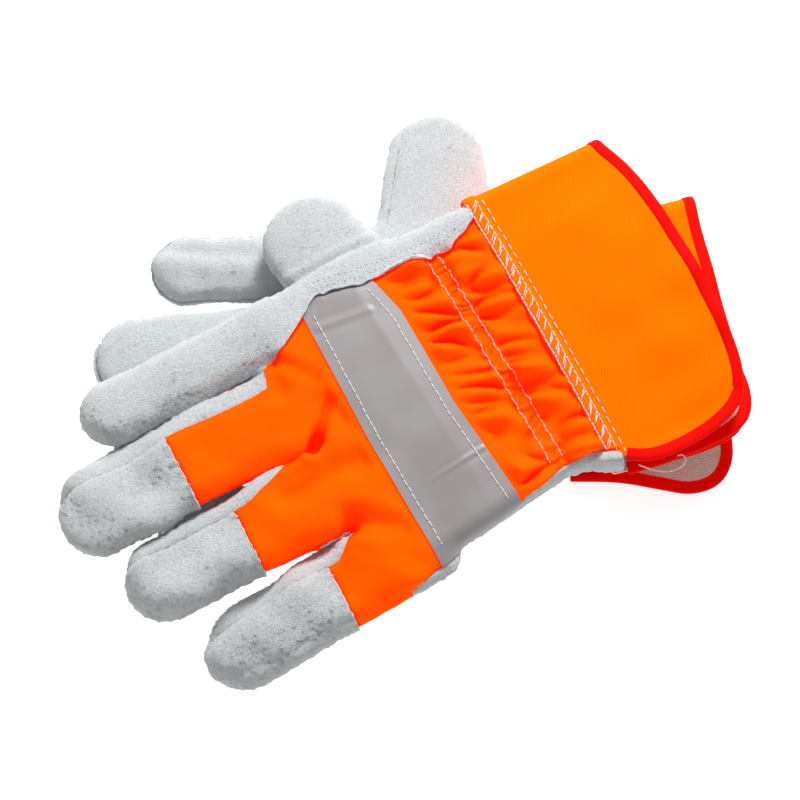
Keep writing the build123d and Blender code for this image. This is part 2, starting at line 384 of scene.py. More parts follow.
def twill():
    """Fluorescent cotton twill with fine slanting ribs."""
    k = Nodes("orange_twill", Roughness=0.8, Specular_IOR_Level=0.02)
    ribs = k.wave(0.75, k.turned(10), "Y", 0.35)
    threads = k.wave(0.9, k.turned(-70), "Y", 0.5)
    slub = k.noise(0.8, k.turned(10, (3, 0.7, 1)), detail=2)
    color = k.ramp(ribs, (0.15, (0.93, 0.085, 0.0)), (0.65, (1.0, 0.158, 0.0)))
    color = k.mix(k.math("MULTIPLY", slub, 0.25), color, (0.9, 0.06, 0.0))
    # painted shade: deep red in the folds and under the edges of the tape and strip
    color = k.shaded(color, 7, 0.46, 0.89, (0.95, 0.004, 0.0))
    height = k.math("ADD", ribs, k.math("MULTIPLY", threads, 0.3))
    # painted glow: the twill shines red of itself, lit or not, so its shade stays red
    k.glow((1.0, 0.012, 0.0), PAINTED_GLOW)
    return k.done(color, k.bump(height, 0.12))


def cuff_cloth():
    """Stiff rubberised cuff cloth with fine ribs across."""
    k = Nodes("orange_cuff", Roughness=0.7, Specular_IOR_Level=0.01)
    ribs = k.wave(1.15, k.turned(56), "Y", 0.3)
    cloud = k.noise(18, detail=2)
    color = k.ramp(ribs, (0.1, (0.99, 0.155, 0.0)), (0.7, (1.0, 0.18, 0.0)))
    color = k.mix(k.math("MULTIPLY", cloud, 0.2), color, (0.98, 0.13, 0.0))
    # painted shade: deep red in folds and under edges
    color = k.shaded(color, 5, 0.4, 0.9, (0.95, 0.006, 0.0))
    # painted glow: the cuff cloth shines red of itself, lit or not, so its shade stays red
    k.glow((1.0, 0.012, 0.0), PAINTED_GLOW)
    return k.done(color, k.bump(ribs, 0.05))


def binding():
    """Red woven ribbon."""
    k = Nodes("red_tape", Roughness=0.65, Specular_IOR_Level=0.03)
    fine = k.noise(0.5, detail=3, rough=0.7)
    color = k.ramp(fine, (0.3, (0.54, 0.002, 0.001)), (0.7, (0.70, 0.006, 0.002)))
    # painted shade: darker red where the ribbon folds and lies under edges
    color = k.shaded(color, 4, 0.4, 0.85, (0.3, 0.0, 0.0))
    # painted glow: the ribbon shines red of itself, so its shaded parts stay bright red
    k.glow((1.0, 0.0, 0.0), 0.24)
    return k.done(color, k.bump(fine, 0.1))


def reflective():
    """Grey glass-bead tape: smooth, slightly glossy, finely mottled."""
    k = Nodes("grey_reflective", Roughness=0.42, Metallic=0.0)
    cloud = k.noise(20, detail=2)
    grain = k.noise(0.35, detail=2)
    color = k.ramp(cloud, (0.35, (0.29, 0.262, 0.266)), (0.65, (0.325, 0.30, 0.304)))
    color = k.mix(k.math("MULTIPLY", grain, 0.12), color, (0.38, 0.355, 0.36))
    rough = k.math("ADD", k.math("MULTIPLY", cloud, 0.15), 0.32)
    return k.done(color, k.bump(grain, 0.02), rough)


def canvas():
    k = Nodes("cream_canvas", Roughness=0.9, Sheen_Weight=0.1)
    ribs = k.wave(1.1, k.turned(-60), "Y", 0.4)
    fine = k.noise(0.7, detail=3)
    color = k.ramp(ribs, (0.1, (0.70, 0.56, 0.45)), (0.6, (0.92, 0.82, 0.72)))
    color = k.mix(k.math("MULTIPLY", fine, 0.3), color, (0.92, 0.84, 0.74))
    return k.done(color, k.bump(ribs, 0.25))


def thread(name, light, dark):
    k = Nodes(name, Roughness=0.7, Sheen_Weight=0.2)
    ply = k.wave(0.28, k.turned(40), "X", 0.3)
    return k.done(k.ramp(ply, (0.1, dark), (0.6, light)), k.bump(ply, 0.05))


def floor_surface():
    k = Nodes("studio_floor", Roughness=0.95)
    k.glow((1, 1, 1), 0.7)
    color = k.ramp(k.noise(180, detail=1), (0.3, (0.88, 0.88, 0.88)), (0.7, (0.90, 0.90, 0.90)))
    return k.done(color)


MATERIALS = {
    "split_leather": suede(),
    "orange_cotton": twill(),
    "orange_cuff_cloth": cuff_cloth(),
    "red_binding": binding(),
    "reflective_tape": reflective(),
    "canvas_lining": canvas(),
    "elastic": thread("elastic_cord", (0.80, 0.62, 0.52), (0.6, 0.42, 0.34)),
    "white_thread": thread("sewing_thread", (0.90, 0.88, 0.86), (0.70, 0.66, 0.64)),
}
# Thread sunk in the stitch holes of the leather strip, painted dark grey: painted shade of the holes.
HOLE_SHADE_THREAD = thread("sunk_thread_hole_shade", (0.42, 0.43, 0.44), (0.18, 0.19, 0.20))


# ---------------------------------------------------------------- pieces


def make_object(name, v, faces, material, custom=None):
    """A smooth object from points in metres and arrays of faces, with normals if custom has them."""
    mesh = bpy.data.meshes.new(name)
    loops = np.concatenate([f.ravel() for f in faces])
    sizes = np.concatenate([np.full(len(f), f.shape[1]) for f in faces])
    mesh.vertices.add(len(v))
    mesh.loops.add(len(loops))
    mesh.polygons.add(len(sizes))
    mesh.vertices.foreach_set("co", v.astype(np.float32).ravel())
    mesh.loops.foreach_set("vertex_index", loops.astype(np.int32))
    starts = np.concatenate([[0], np.cumsum(sizes)[:-1]])
    mesh.polygons.foreach_set("loop_start", starts.astype(np.int32))
    mesh.polygons.foreach_set("use_smooth", np.ones(len(sizes), bool))
    mesh.update(calc_edges=True)
    mesh.materials.append(material)
    if custom is not None:
        count = len(mesh.loops)
        turned = np.zeros((count, 3), np.float32)
        turned[: len(custom)] = custom[: count]
        mesh.normals_split_custom_set(turned)
    o = bpy.data.objects.new(name, mesh)
    bpy.context.scene.collection.objects.link(o)
    return o


TUFTS = Noise(8, 2.4, waves=24)  # the uneven outline of the leather's nap


class Glove:
    """One glove of the pair: where it lies, how its digits lie, and how its pieces are made."""

    def __init__(self, side, digits, body):
        self.side, self.digits, self.body = side, digits, body
        self.pieces = {}

    def seam_x(self, y):
        """Where the cuff is sewn on: a slanting line across the wrist."""
        return self.seam[0] + self.seam[1] * y

    def place(self, v):
        if self.side == "left":
            return (v + LEFT_AT) * MM
        c, s = math.cos(RIGHT_TURN), math.sin(RIGHT_TURN)
        x, y, z = v.T
        return (np.stack([x * c - y * s, x * s + y * c, HAND_H - z], 1) + RIGHT_AT) * MM

    def turn(self, n):
        if self.side == "left":
            return n
        c, s = math.cos(RIGHT_TURN), math.sin(RIGHT_TURN)
        x, y, z = n.T
        return np.stack([x * c - y * s, x * s + y * c, -z], 1)

    def sew(self, node, skin, thick, slot, body=None, hinge=None, nodes=None, low=0.0):
        """A sheet of the given thickness whose outer side is the skin, for a node of the CAD."""
        n = len(skin.v)
        nap = 0.2 * TUFTS(skin.p)[:, None] if slot == "split_leather" else 0
        v = np.concatenate([skin.v + skin.n * (nap - low), skin.v - skin.n * (low + thick)])
        if self.side == "right":
            outer_limit = HAND_H + (FLOOR_GAP - TAPE_ROOM if slot == "orange_cotton" else FLOOR_GAP)
            v[:n, 2] = np.minimum(v[:n, 2], outer_limit)
            v[n:, 2] = np.minimum(v[n:, 2], outer_limit - 0.2)
        rim = skin.rim()
        side = np.stack([rim[:, 1], rim[:, 0], rim[:, 0] + n, rim[:, 1] + n], 1)
        top, bottom = skin.f, skin.f[:, ::-1] + n
        if self.side == "right":
            top, bottom, side = top[:, ::-1], bottom[:, ::-1], side[:, ::-1]
        v = self.place(v)
        turned = self.turn(np.concatenate([skin.n, -skin.n]))
        a, b, c, d = v[side[:, 0]], v[side[:, 1]], v[side[:, 2]], v[side[:, 3]]
        across = np.cross(c - a, d - b)
        across /= np.maximum(np.linalg.norm(across, axis=1), 1e-12)[:, None]
        custom = np.concatenate([turned[top.ravel()], turned[bottom.ravel()], np.repeat(across, 4, 0)])
        faces = [top, bottom, side]
        o = make_object(f"{self.side}_{node}_sewn", v, faces, MATERIALS[slot], custom)
        return self.keep(o, node, slot, body, hinge, nodes)

    def keep(self, o, node, slot, body=None, hinge=None, nodes=None):
        if hinge:
            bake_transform(o)
        else:
            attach(o, body or self.body)
        if nodes is None:
            nodes = [node]
        if nodes:
            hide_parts(*[f"{self.side}_{n}" for n in nodes])
        self.pieces[node] = o
        return o


# ---------------------------------------------------------------- the shape of a hand


ORDER = ["index", "middle", "ring", "little"]
CUT_X = -99.0  # where the finger pieces start
CUT_THUMB = 4.0
THUMB_SIDE = -86.0  # x beyond which the side of the hand is not part of the thumb
MIDLINES = {"index": (45.5, 200), "middle": (5.5, 45.5), "ring": (-29.5, 5.5), "little": (-200, -29.5)}


def hand_field(p, glove):
    """The hand from wrist to knuckles: a flat pouch, drawn in a little at the wrist."""
    x, y, z = p[..., 0], p[..., 1], p[..., 2]
    low = lerp(x, glove.low)
    high = lerp(x, [(-100, 71), (-50, 68.5), (-22, 66), (0, 64), (8, 63.5)])
    thick = lerp(x, [(-105, 8.8), (-85, 10.5), (-55, 12), (-22, 10), (8, 10.5)]) * glove.fill
    mid, half = (low + high) / 2, (high - low) / 2
    v = y - mid
    thick = thick * (1 - 0.25 * (v / half) ** 2)
    d = stadium(v, z - glove.middle, half, thick, 6.5)
    front = lerp(y, [(-60, -99), (-45, -103), (-29, -105), (-5, -98), (60, -97)])
    d = smax(d, front - x, 6)
    return np.maximum(d, x - 12)


def rest_on(d, p, glove):
    """Flattened where the glove lies on what is under it."""
    z = p[..., 2]
    if glove.side == "left":
        inside = smooth(p[..., 0], -125, -95)
        return np.where(inside > 0, smax(d, -0.2 - z - 8 * (1 - inside), 3), d)
    return smax(d, z - 19.2, 3)


def whole_field(p, glove):
    d = hand_field(p, glove)
    for name, digit in glove.digits.items():
        d = smin(d, digit.field(p), 9 if name == "thumb" else 5)
    return rest_on(d, p, glove)


def finger_field(p, name, glove):
    """The hand with one digit only, pressed aside by the neighbour that lies on it."""
    digit = glove.digits[name]
    d = smin(hand_field(p, glove), digit.field(p), 9 if name == "thumb" else 5)
    u = digit.local(p)[0]
    if name in ORDER[1:]:
        over = glove.digits[ORDER[ORDER.index(name) - 1]].field(p)
        d = np.where(u > 8, smax(d, 0.15 - over, 1.5), d)
    share = smooth(u, 4, 11)
    if name == "thumb":
        share = share * smooth(p[..., 0], THUMB_SIDE, THUMB_SIDE + 8)
    return whole_field(p, glove) * (1 - share) + rest_on(d, p, glove) * share


def hand_skin(glove):
    p, first = grid((-118, -78, -16), (12, 98, 32))
    return skin_of(whole_field(p, glove), first)


def digit_skin(name, glove):
    digit = glove.digits[name]
    base = np.array((digit.x, digit.y, digit.z))
    tip = base - (0, 0, digit.droop)
    tip[:2] += digit.length * np.array((-math.cos(digit.yaw), math.sin(digit.yaw)))
    reach = digit.w + 8
    lo, hi = np.minimum(base, tip) - reach, np.maximum(base, tip) + reach
    lo[2], hi[2] = min(base[2], tip[2]) - 16, max(base[2], tip[2]) + 16
    p, first = grid(lo, hi)
    return skin_of(finger_field(p, name, glove), first)


# ---------------------------------------------------------------- panels


STRIP_EDGE = [(-200, 46), (-97, 46), (-91, 48.3), (-80, 54.2), (-74, 58.2), (-70.5, 60), (-68.5, 60.2)]
STRIP_EDGE += [(-67, 58.8), (-63, 58), (-57, 56), (-51, 54.3), (-45, 53.6), (-34, 52.5), (-21, 50.8)]
STRIP_EDGE += [(-11.5, 50.8), (-3.3, 54.0), (3, 56.3), (20, 62)]


def strip_side(p):
    """Above 0 on the leather strip along the thumb side of the back."""
    return p[..., 1] - lerp(p[..., 0], STRIP_EDGE)


def low_side(p, glove):
    """Above 0 on the back, below 0 on the palm leather that wraps round the little side."""
    x, y, z = p[..., 0], p[..., 1], p[..., 2]
    reach = lerp(x, [(-100, -2.5), (-90, 0), (-50, 3.7), (0, 10.4), (20, 11)])
    return (y - lerp(x, glove.low)) + (z - 8) * 0.6 - reach


def back_side(p, glove):
    return np.minimum(low_side(p, glove), p[..., 2] - 5)


class Panels:
    """The fields that cut one digit into back, cap, side strips and front."""

    def __init__(self, digit, seam, cap=None, taper=3.0, n_low=-1.0, n_front=-4.0):
        self.digit, self.seam, self.cap, self.taper = digit, seam, cap, taper
        self.n_low, self.n_front = n_low, n_front

    def top(self, p):
        u, v, n = self.digit.local(p)
        seam = self.seam + 12 * (1 - np.clip((u - 5) / self.taper, 0, 1) ** 0.7)
        low = np.maximum(self.n_low - 7 * (1 - smooth(u, 5, 14)), self.n_front - 0.3)
        return np.minimum(seam - v, (n - low) * 1.2)

    def back(self, p):
        top = self.top(p)
        return top if self.cap is None else np.minimum(top, self.cap - self.digit.local(p)[0])

    def tip(self, p):
        return np.minimum(self.top(p), self.digit.local(p)[0] - self.cap)

    def front(self, p):
        return self.n_front - self.digit.local(p)[2]

    def sides(self, p):
        return np.minimum(-self.top(p), -self.front(p))


def groove(distance, depth, width=1.4):
    return -depth * np.exp(-np.maximum(distance, 0) / width)


# ---------------------------------------------------------------- relief


LUMPS = Noise(3, 34, waves=40)
SMALL = Noise(4, 11, waves=40)
PUCKER = Noise(5, 4.5)
FOLDS = Noise(6, 12.0, waves=18, stretch=(3.2, 1, 1))
SOFT = Noise(7, 26)
TAPE_LEFT = [(-60, -84), (-5, -83), (54, -79), (60, -79)]  # x of each edge, by y
TAPE_RIGHT = [(-60, -44), (-53, -44), (-8.5, -46), (36, -44), (54, -47), (62, -47)]


def row_x(y):
    return -21.4 + 0.0265 * y


def line_distance(p, a, b):
    """Distance in plan from the segment a to b, and how far along it, 0 to 1."""
    a, b = np.array(a, float), np.array(b, float)
    q = p[..., :2] - a
    t = np.clip(q @ (b - a) / ((b - a) @ (b - a)), 0, 1)
    return np.linalg.norm(q - t[..., None] * (b - a), axis=-1), t


def crease(p, a, b, depth, width, fade=0.3):
    """A fold along a line in plan: a sharp valley, or a ridge where depth is negative."""
    d, t = line_distance(p, a, b)
    keep = 1 - (1 - fade) * t
    valley, shoulder = np.exp(-((d / width) ** 2)), np.exp(-(((d - 2 * width) / width) ** 2))
    return -depth * keep * (valley - 0.35 * shoulder)


def dent(p, x, y, radius, depth):
    return -depth * np.exp(-((p[..., 0] - x) ** 2 + (p[..., 1] - y) ** 2) / radius**2)


def tape_mask(p):
    x, y = p[..., 0], p[..., 1]
    left, right = lerp(y, TAPE_LEFT), lerp(y, TAPE_RIGHT)
    return np.minimum(x - left, right - x)


def cotton_relief(p):
    """Folds of the orange back: gathers at the elastic, creases at the crotches."""
    x, y = p[..., 0], p[..., 1]
    s = x - row_x(y)
    wobble = 1.6 * SMALL(p)
    pleats = np.sin(2 * math.pi * (y - 0.12 * s + wobble) / 4.7)
    h = 0.55 * pleats * np.exp(-((s / 3.4) ** 2))
    h = h - 2.0 * np.exp(-((s / 5.5) ** 2))
    q = np.stack([x, y + 0.18 * x, p[..., 2] * 0], -1)
    ridge = FOLDS(q)
    ridge = np.sqrt(ridge**2 + 0.015) - 0.75
    near = np.exp(-((np.maximum(np.abs(s) - 7, 0) / 13) ** 2)) * smooth(np.abs(s), 1.5, 5)
    h = h + 4.0 * ridge * near
    h = h + 1.1 * SOFT(p) * smooth(-x, 84, 96)
    h = h + crease(p, (-103, 5), (-87, 19), 3.2, 2.4, 0.5) + dent(p, -94, 21, 8, 1.8)
    h = h + crease(p, (-122, -5), (-89, -9), 2.4, 4.6, 0.7)
    h = h + crease(p, (-104, -29), (-87, -42), 2.4, 4.2, 0.7)
    h = h + dent(p, -85, 11, 6, 1.8) + dent(p, -91, 19, 6, 1.4) + dent(p, -103, 32, 4, 1.4)
    h = h + dent(p, -105, -27, 5, 1.0) + dent(p, -118, 22, 9, 1.2) + dent(p, -140, 14, 8, 1.3)
    h = h + crease(p, (-97, 45), (-88, 30), 1.4, 2.5)
    mask = smooth(tape_mask(p), -6, -1)
    return h * (1 - mask) * smooth(-strip_side(p), -4, 1)


def tape_relief(p):
    """Two soft ridges in the tape."""
    near = crease(p, (-76, 47), (-55, 43), -0.3, 1.5, fade=0.7)
    return near + crease(p, (-46, -30), (-72, -31), -0.4, 0.9, 0.1)


def relief(skin, glove):
    p = skin.p
    mask = smooth(tape_mask(p), -6, -1) if glove.side == "left" else 0
    h = (0.35 * LUMPS(p) + 0.08 * SMALL(p)) * (1 - mask)
    if glove.side == "left":
        h = h + smooth(skin.n[:, 2], 0.0, 0.5) * smooth(low_side(p, glove), -1, 4) * cotton_relief(p)
        h = h + smooth(skin.n[:, 2], 0.0, 0.5) * crease(p, (-79, 73), (-26, 69.5), 1.6, 1.7, 0.8)
    else:
        h = h + smooth(-skin.n[:, 2], 0.0, 0.5) * (
            crease(p, (-163, 76), (-120, 66), 1.8, 3.5, 0.5) + dent(p, -155, 60, 7, 1.0)
            + crease(p, (-70, 82), (-48, 112), 0.7, 6, 0.4)
        )
    return Skin(skin.v + skin.n * h[:, None], skin.f, None, skin.p)


# ---------------------------------------------------------------- the two gloves


left = Glove(
    "left",
    {
        "index": Digit(-98.5, 58.5, 3.0, 79.0, 14.2, 9.2, 10.5, droop=3.0, roll=-6, tip=1.05),
        "middle": Digit(-98.5, 26.6, 3.0, 106.5, 20.8, 9.2, 10.3, droop=6.0, roll=-7, tip=0.85, taper=0.06),
        "ring": Digit(-98.5, -11.2, 3.0, 97.5, 19.2, 9.2, 10.0, droop=10.0, roll=-6, tip=0.9, taper=0.12),
        "little": Digit(-98.5, -47.4, 1.8, 82.5, 17.8, 9.0, 9.6, droop=17.0, roll=-5, tip=0.88, taper=0.05),
        "thumb": Digit(-54.0, 67.0, 80.5, 39.5, 21.5, 7.5, 7.6, droop=1.0, roll=4, tip=0.95),
    },
    "left_hand",
)
left.fill, left.middle, left.seam = 1.0, 10.6, (-0.62, 0.0697)
left.low = [(-100, -58.5), (-60, -57), (-22, -54.5), (-9, -57), (-2, -61), (8, -66)]
right = Glove(
    "right",
    {
        "index": Digit(-98.5, 61.5, 5.0, 74.0, 15.4, 8.2, 10.6, tip=1.0, crown=0.62),
        "middle": Digit(-98.5, 27.0, 3.0, 102.0, 18.8, 7.8, 11.0, crown=0.62),
        "ring": Digit(-98.5, -11.3, 2.5, 96.5, 16.5, 7.4, 11.4),
        "little": Digit(-98.5, -45.5, 0.0, 81.5, 15.6, 7.4, 11.4),
        "thumb": Digit(-49.5, 67.0, 98.0, 62.0, 27.0, 6.8, 8.2, droop=-2.0, taper=0.24, tip=0.8),
    },
    "right_hand",
)
right.fill, right.middle, right.seam = 0.86, 10.2, (-2.5, -0.125)
right.low = [(-100, -57), (-60, -55), (-30, -48), (-5, -43), (12, -43)]
SEAMS = {  # where the back panel ends towards the thumb, where the cap starts, and how the end tapers
    "index": (40, None, 3),
    "middle": (8.7, 53.5, 3),
    "ring": (8.4, 44.5, 32),
    "little": (8.2, 24.5, 14),
}
LEATHER, COTTON, CANVAS, ELASTIC, TAPE = 1.3, 0.5, 0.5, 0.5, 0.4  # thicknesses
LINING_DEPTH, ELASTIC_DEPTH = 2.2, 1.6  # how deep under the skin these lie


def fingers(glove):
    left_side = glove.side == "left"
    for name in ORDER:
        digit = glove.digits[name]
        seam, cap, taper = SEAMS[name]
        cut = Panels(digit, seam, cap, taper, n_front=-4.0 if left_side else -2.5)
        low, high = MIDLINES[name]

        def tuck(p):
            past = np.maximum(p[..., 1] - high, low - p[..., 1])
            return -1.8 * smooth(past, 0, 2.5) * (1 - smooth(digit.local(p)[0], 12, 20))

        def open_seam(p):
            return smooth(digit.local(p)[0], 7, 15)

        skin = relief(digit_skin(name, glove), glove)
        skin = Skin(skin.v + skin.n * tuck(skin.p)[:, None], skin.f, None, skin.p)

        def here(p):
            free = 60 * smooth(digit.local(p)[0], 2, 9)
            side = np.minimum(high - p[..., 1], p[..., 1] - low) + free
            return np.minimum(CUT_X - p[..., 0], side)

        if name == "index" and not left_side:
            ends = [("_base", lambda p: SPLIT - digit.local(p)[0], "right_hand")]
            ends.append(("_end", lambda p: digit.local(p)[0] - SPLIT, "right_index_end"))
        else:
            body = f"left_{name}" if left_side else "right_hand"
            ends = [("", lambda p: np.full(p.shape[:-1], 1.0), body)]
        back = skin.clip(cut.back)
        back = back.raised(lambda p: 0.3 + open_seam(p) * groove(cut.seam - digit.local(p)[1], 0.9) + (
            0 if cap is None else groove(cap - digit.local(p)[0], 0.5, 2.0)))
        slot = "split_leather" if cap is None else "orange_cotton"
        depth = 0.6 if left_side else 0.3
        sides = skin.clip(cut.sides)
        sides = sides.raised(lambda p: open_seam(p) * groove(np.abs(cut.top(p)), depth, 1.0))
        front = skin.clip(cut.front).raised(lambda p: 0.3 + groove(cut.front(p), depth, 1.0))
        fourchette = "fourchette" if name == "index" else "fourchettes"
        for tag, share, body in ends:
            hinge = None
            if body != "right_hand" and left_side:
                hinge = ("left_hand", body, (CUT_X, digit.y, HAND_H), (CUT_X - 28, digit.y, HAND_H))
            if tag:
                start, end = digit.along(SPLIT - 6), digit.along(SPLIT + 12)
                hinge = ("right_hand", "right_index_end", start, end)
            for label, part, s, thick in [
                ("back", back, slot, LEATHER if cap is None else COTTON),
                (fourchette, sides, "split_leather", LEATHER),
                ("front", front, "split_leather", LEATHER),
            ]:
                part = part.clip(here).clip(share)
                glove.sew(f"{name}_{label}{tag}", part, thick, s, body, hinge)
        if cap is not None:
            tip = skin.clip(cut.tip)
            tip = tip.raised(
                lambda p: 0.9
                + groove(cut.seam - digit.local(p)[1], 1.3)
                + 0.5 * np.exp(-(digit.local(p)[0] - cap) / 2.0)
                + 0.2 * PUCKER(p) * np.exp(-(digit.local(p)[0] - cap) / 3.0)
            )
            glove.sew(f"{name}_tip_cap", tip, LEATHER, "split_leather", body, hinge)


SPLIT = 34.0


def thumb(glove):
    digit = glove.digits["thumb"]
    skin = relief(digit_skin("thumb", glove), glove)

    def here(p):
        return np.minimum(digit.local(p)[0] - CUT_THUMB, p[..., 0] - THUMB_SIDE)

    def back_part(p):
        u, v, n = digit.local(p)
        if glove.side == "left":
            return n + 0.5
        return smax(n + 0.5, -v - (digit.w * (1 - digit.taper * u / digit.straight) - 4.5), 2)

    body = f"{glove.side}_thumb"
    u = np.array((-math.cos(digit.yaw), math.sin(digit.yaw), 0))
    base = np.array((digit.x, digit.y, digit.z))
    hinge = (glove.body, body, base + u * (CUT_THUMB + 0.5), base + u * (CUT_THUMB + 18))
    back = skin.clip(back_part).raised(lambda p: 0.3 + groove(back_part(p), 0.7, 1.0)).clip(here)
    front = skin.clip(lambda p: -back_part(p)).raised(lambda p: 0.3 + groove(-back_part(p), 0.7, 1.0))
    glove.sew("thumb_back", back, LEATHER, "split_leather", None, hinge)
    glove.sew("thumb_front", front.clip(here), LEATHER, "split_leather", None, hinge)


def hand(glove):
    left_side = glove.side == "left"
    skin = relief(hand_skin(glove), glove)
    digit = glove.digits["thumb"]

    def here(p):
        short = np.maximum(CUT_THUMB - digit.local(p)[0], THUMB_SIDE - p[..., 0])
        thumb_cut = np.where(p[..., 1] > 60, short, CUT_THUMB)
        tab = 5.5 * smooth(-low_side(p, glove), -1, 1) * smooth(-p[..., 1], 50, 57) if left_side else 0
        ends = glove.seam_x(p[..., 1]) - p[..., 0] + tab
        return np.minimum(np.minimum(p[..., 0] - CUT_X, thumb_cut), ends)

    back = skin.clip(lambda p: back_side(p, glove)).clip(lambda p: 3.0 - strip_side(p))
    if left_side:
        back = back.finer()
    back = back.raised(
        lambda p: 0.3 + groove(low_side(p, glove), 0.8) + groove(-strip_side(p), 1.2, 1.5)
        + groove(glove.seam_x(p[..., 1]) - p[..., 0], 1.0, 1.5)
    )
    glove.sew("back_cotton", back.clip(here), COTTON, "orange_cotton")
    strip = skin.clip(lambda p: np.minimum(strip_side(p) + 0.35 * SMALL(p), p[..., 2] - 9))
    strip = strip.raised(
        lambda p: 0.3 + 0.75 * smooth(p[..., 0], -97, -78) + groove(p[..., 2] - 9, 0.9, 1.2)
    )
    glove.sew("thumb_side_strip", strip.clip(here), 0.9, "split_leather")

    def palm_side(p):
        return np.where(p[..., 1] > 0, 9 - p[..., 2], -back_side(p, glove))

    def over_cuff(p):
        if not left_side:
            return 0
        rise = smooth(p[..., 0] - glove.seam_x(p[..., 1]), -12, 0) * smooth(-p[..., 1], 48, 56)
        return 2.2 * rise * smooth(-low_side(p, glove), 0, 3)

    palm = skin.clip(palm_side).raised(lambda p: 0.3 + groove(palm_side(p), 0.5, 1.0) + over_cuff(p))
    glove.sew("palm_leather", palm.clip(here), LEATHER, "split_leather")
    inner = skin.raised(lambda p: np.full(len(p), -LINING_DEPTH))
    inner = inner.clip(lambda p: np.minimum(p[..., 0] + 60, here(p)))
    glove.sew("palm_lining", inner, CANVAS, "canvas_lining")
    elastic = skin.raised(lambda p: np.full(len(p), -ELASTIC_DEPTH))

    def by_elastic(p):
        return np.minimum(4.5 - np.abs(p[..., 0] - row_x(p[..., 1])), back_side(p, glove) - 1)

    elastic = elastic.clip(by_elastic)
    glove.sew("wrist_elastic", elastic.clip(lambda p: -strip_side(p)), ELASTIC, "elastic")

    def on_tape(p):
        return np.minimum(np.minimum(tape_mask(p), back_side(p, glove) - 0.3), 2.5 - strip_side(p))

    tape = skin.clip(on_tape).finer()
    tape = tape.raised(lambda p: 0.75 + groove(-strip_side(p), 1.0, 1.5) + tape_relief(p))
    glove.sew("reflective_tape", tape, TAPE, "reflective_tape")
    glove.skin = skin


for glove in (left, right):
    hand(glove)
    fingers(glove)
    thumb(glove)


# ---------------------------------------------------------------- cuffs


def rounded(points, times=3):
    """A polyline with its corners cut away again and again, its ends kept."""
    q = np.array(points, float)
    for _ in range(times):
        near, far = q[:-1] * 0.75 + q[1:] * 0.25, q[:-1] * 0.25 + q[1:] * 0.75
        cut = np.stack([near, far], 1).reshape(-1, q.shape[1])
        q = np.concatenate([q[:1], cut, q[-1:]])
    return q


def even(points, step):
    """Points at equal steps along a polyline."""
    along = np.concatenate([[0], np.cumsum(np.linalg.norm(np.diff(points, axis=0), axis=1))])
    where = np.linspace(0, along[-1], int(round(along[-1] / step)) + 1)
    return np.stack([np.interp(where, along, points[:, k]) for k in range(points.shape[1])], 1)


def inside(p, polygon):
    """Distance inside a closed polygon in plan, negative outside."""
    q = p[..., :2]
    best = np.full(q.shape[:-1], 1e9)
    odd = np.zeros(q.shape[:-1], bool)
    for a, b in zip(polygon, np.roll(polygon, -1, axis=0)):
        ab = b - a
        t = np.clip(((q - a) @ ab) / max(ab @ ab, 1e-9), 0, 1)
        best = np.minimum(best, np.linalg.norm(q - a - t[..., None] * ab, axis=-1))
        if a[1] != b[1]:
            crosses = (a[1] > q[..., 1]) != (b[1] > q[..., 1])
            x = a[0] + (q[..., 1] - a[1]) * ab[0] / ab[1]
            odd ^= crosses & (q[..., 0] < x)
    return np.where(odd, best, -best)


